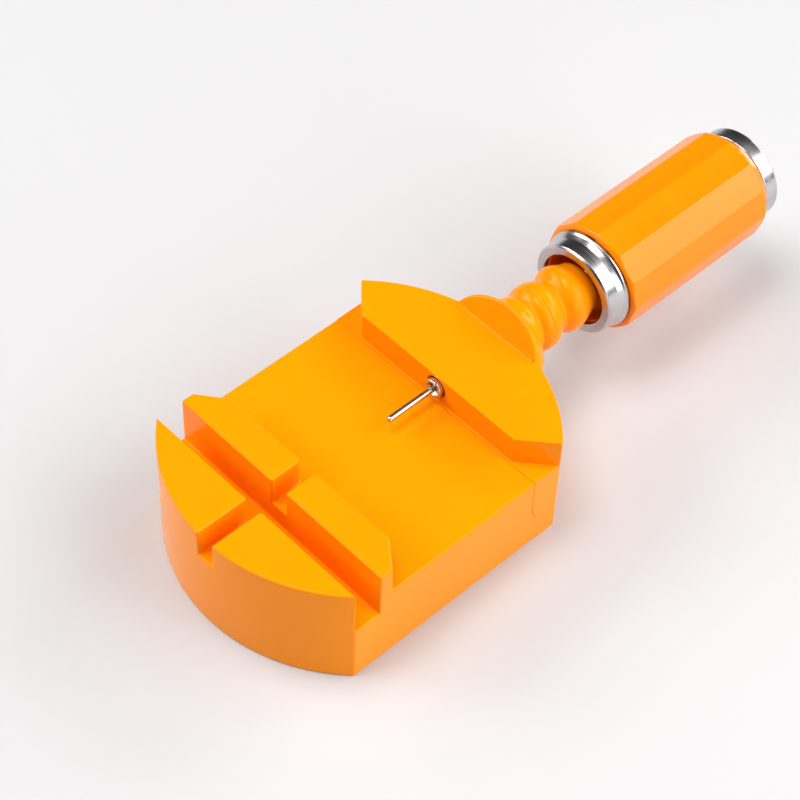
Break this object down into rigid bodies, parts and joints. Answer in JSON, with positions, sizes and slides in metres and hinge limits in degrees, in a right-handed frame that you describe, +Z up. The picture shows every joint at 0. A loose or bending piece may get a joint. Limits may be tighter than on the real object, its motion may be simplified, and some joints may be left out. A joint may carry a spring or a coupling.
{
  "type": "watch bracelet link remover",
  "caption": "Slotted plastic bench base with a cross channel and a screw-fed push pin, driven by a hollow faceted handle, for pressing link pins out of metal watch bracelets.",
  "frame": {"origin": "centre of the base disc on the table plane", "axes": "+X along the spindle towards the handle, +Y across the tool along the bracelet channel, +Z up"},
  "size_m": [0.1384, 0.0522, 0.0325],
  "materials": {
    "orange_plastic": "moulded, satin gloss",
    "grip_plastic": "moulded, gloss",
    "bright_steel": "plated, finely turned",
    "pin_steel": "hardened, ground",
    "zinc_steel": "zinc plated",
    "brass": "turned"
  },
  "bodies": {
    "base": {"base_body": "orange_plastic", "spindle_head": "orange_plastic", "joint_screw_front": "zinc_steel", "joint_screw_rear": "zinc_steel", "thread_bush": "brass"},
    "pin_carriage": {"push_pin": "pin_steel"},
    "handle": {"spindle": "zinc_steel", "pin_holder": "bright_steel", "grip": "grip_plastic", "front_ferrule": "bright_steel", "front_nut": "zinc_steel", "lock_washer": "zinc_steel", "lock_nut": "zinc_steel", "spare_pin_1": "pin_steel", "spare_pin_2": "pin_steel", "spare_pin_3": "pin_steel"},
    "cap": {"end_cap": "bright_steel"}
  },
  "joints": [
    {"name": "pin_feed", "type": "slide", "parent": "base", "child": "pin_carriage", "axis": [-1, 0, 0], "range_m": [-0.01195, 0.01405]},
    {"name": "handle_turn", "type": "hinge", "parent": "pin_carriage", "child": "handle", "pos_m": [0.0745, 0, 0.021], "axis": [-1, 0, 0], "range_deg": [-6120, 7200]},
    {"name": "cap_pull", "type": "slide", "parent": "handle", "child": "cap", "axis": [1, 0, 0], "range_m": [0, 0.01]}
  ],
  "couplings": [
    {"joint": "pin_feed", "follows": "handle_turn", "m_per_rad": 0.00011141}
  ]
}
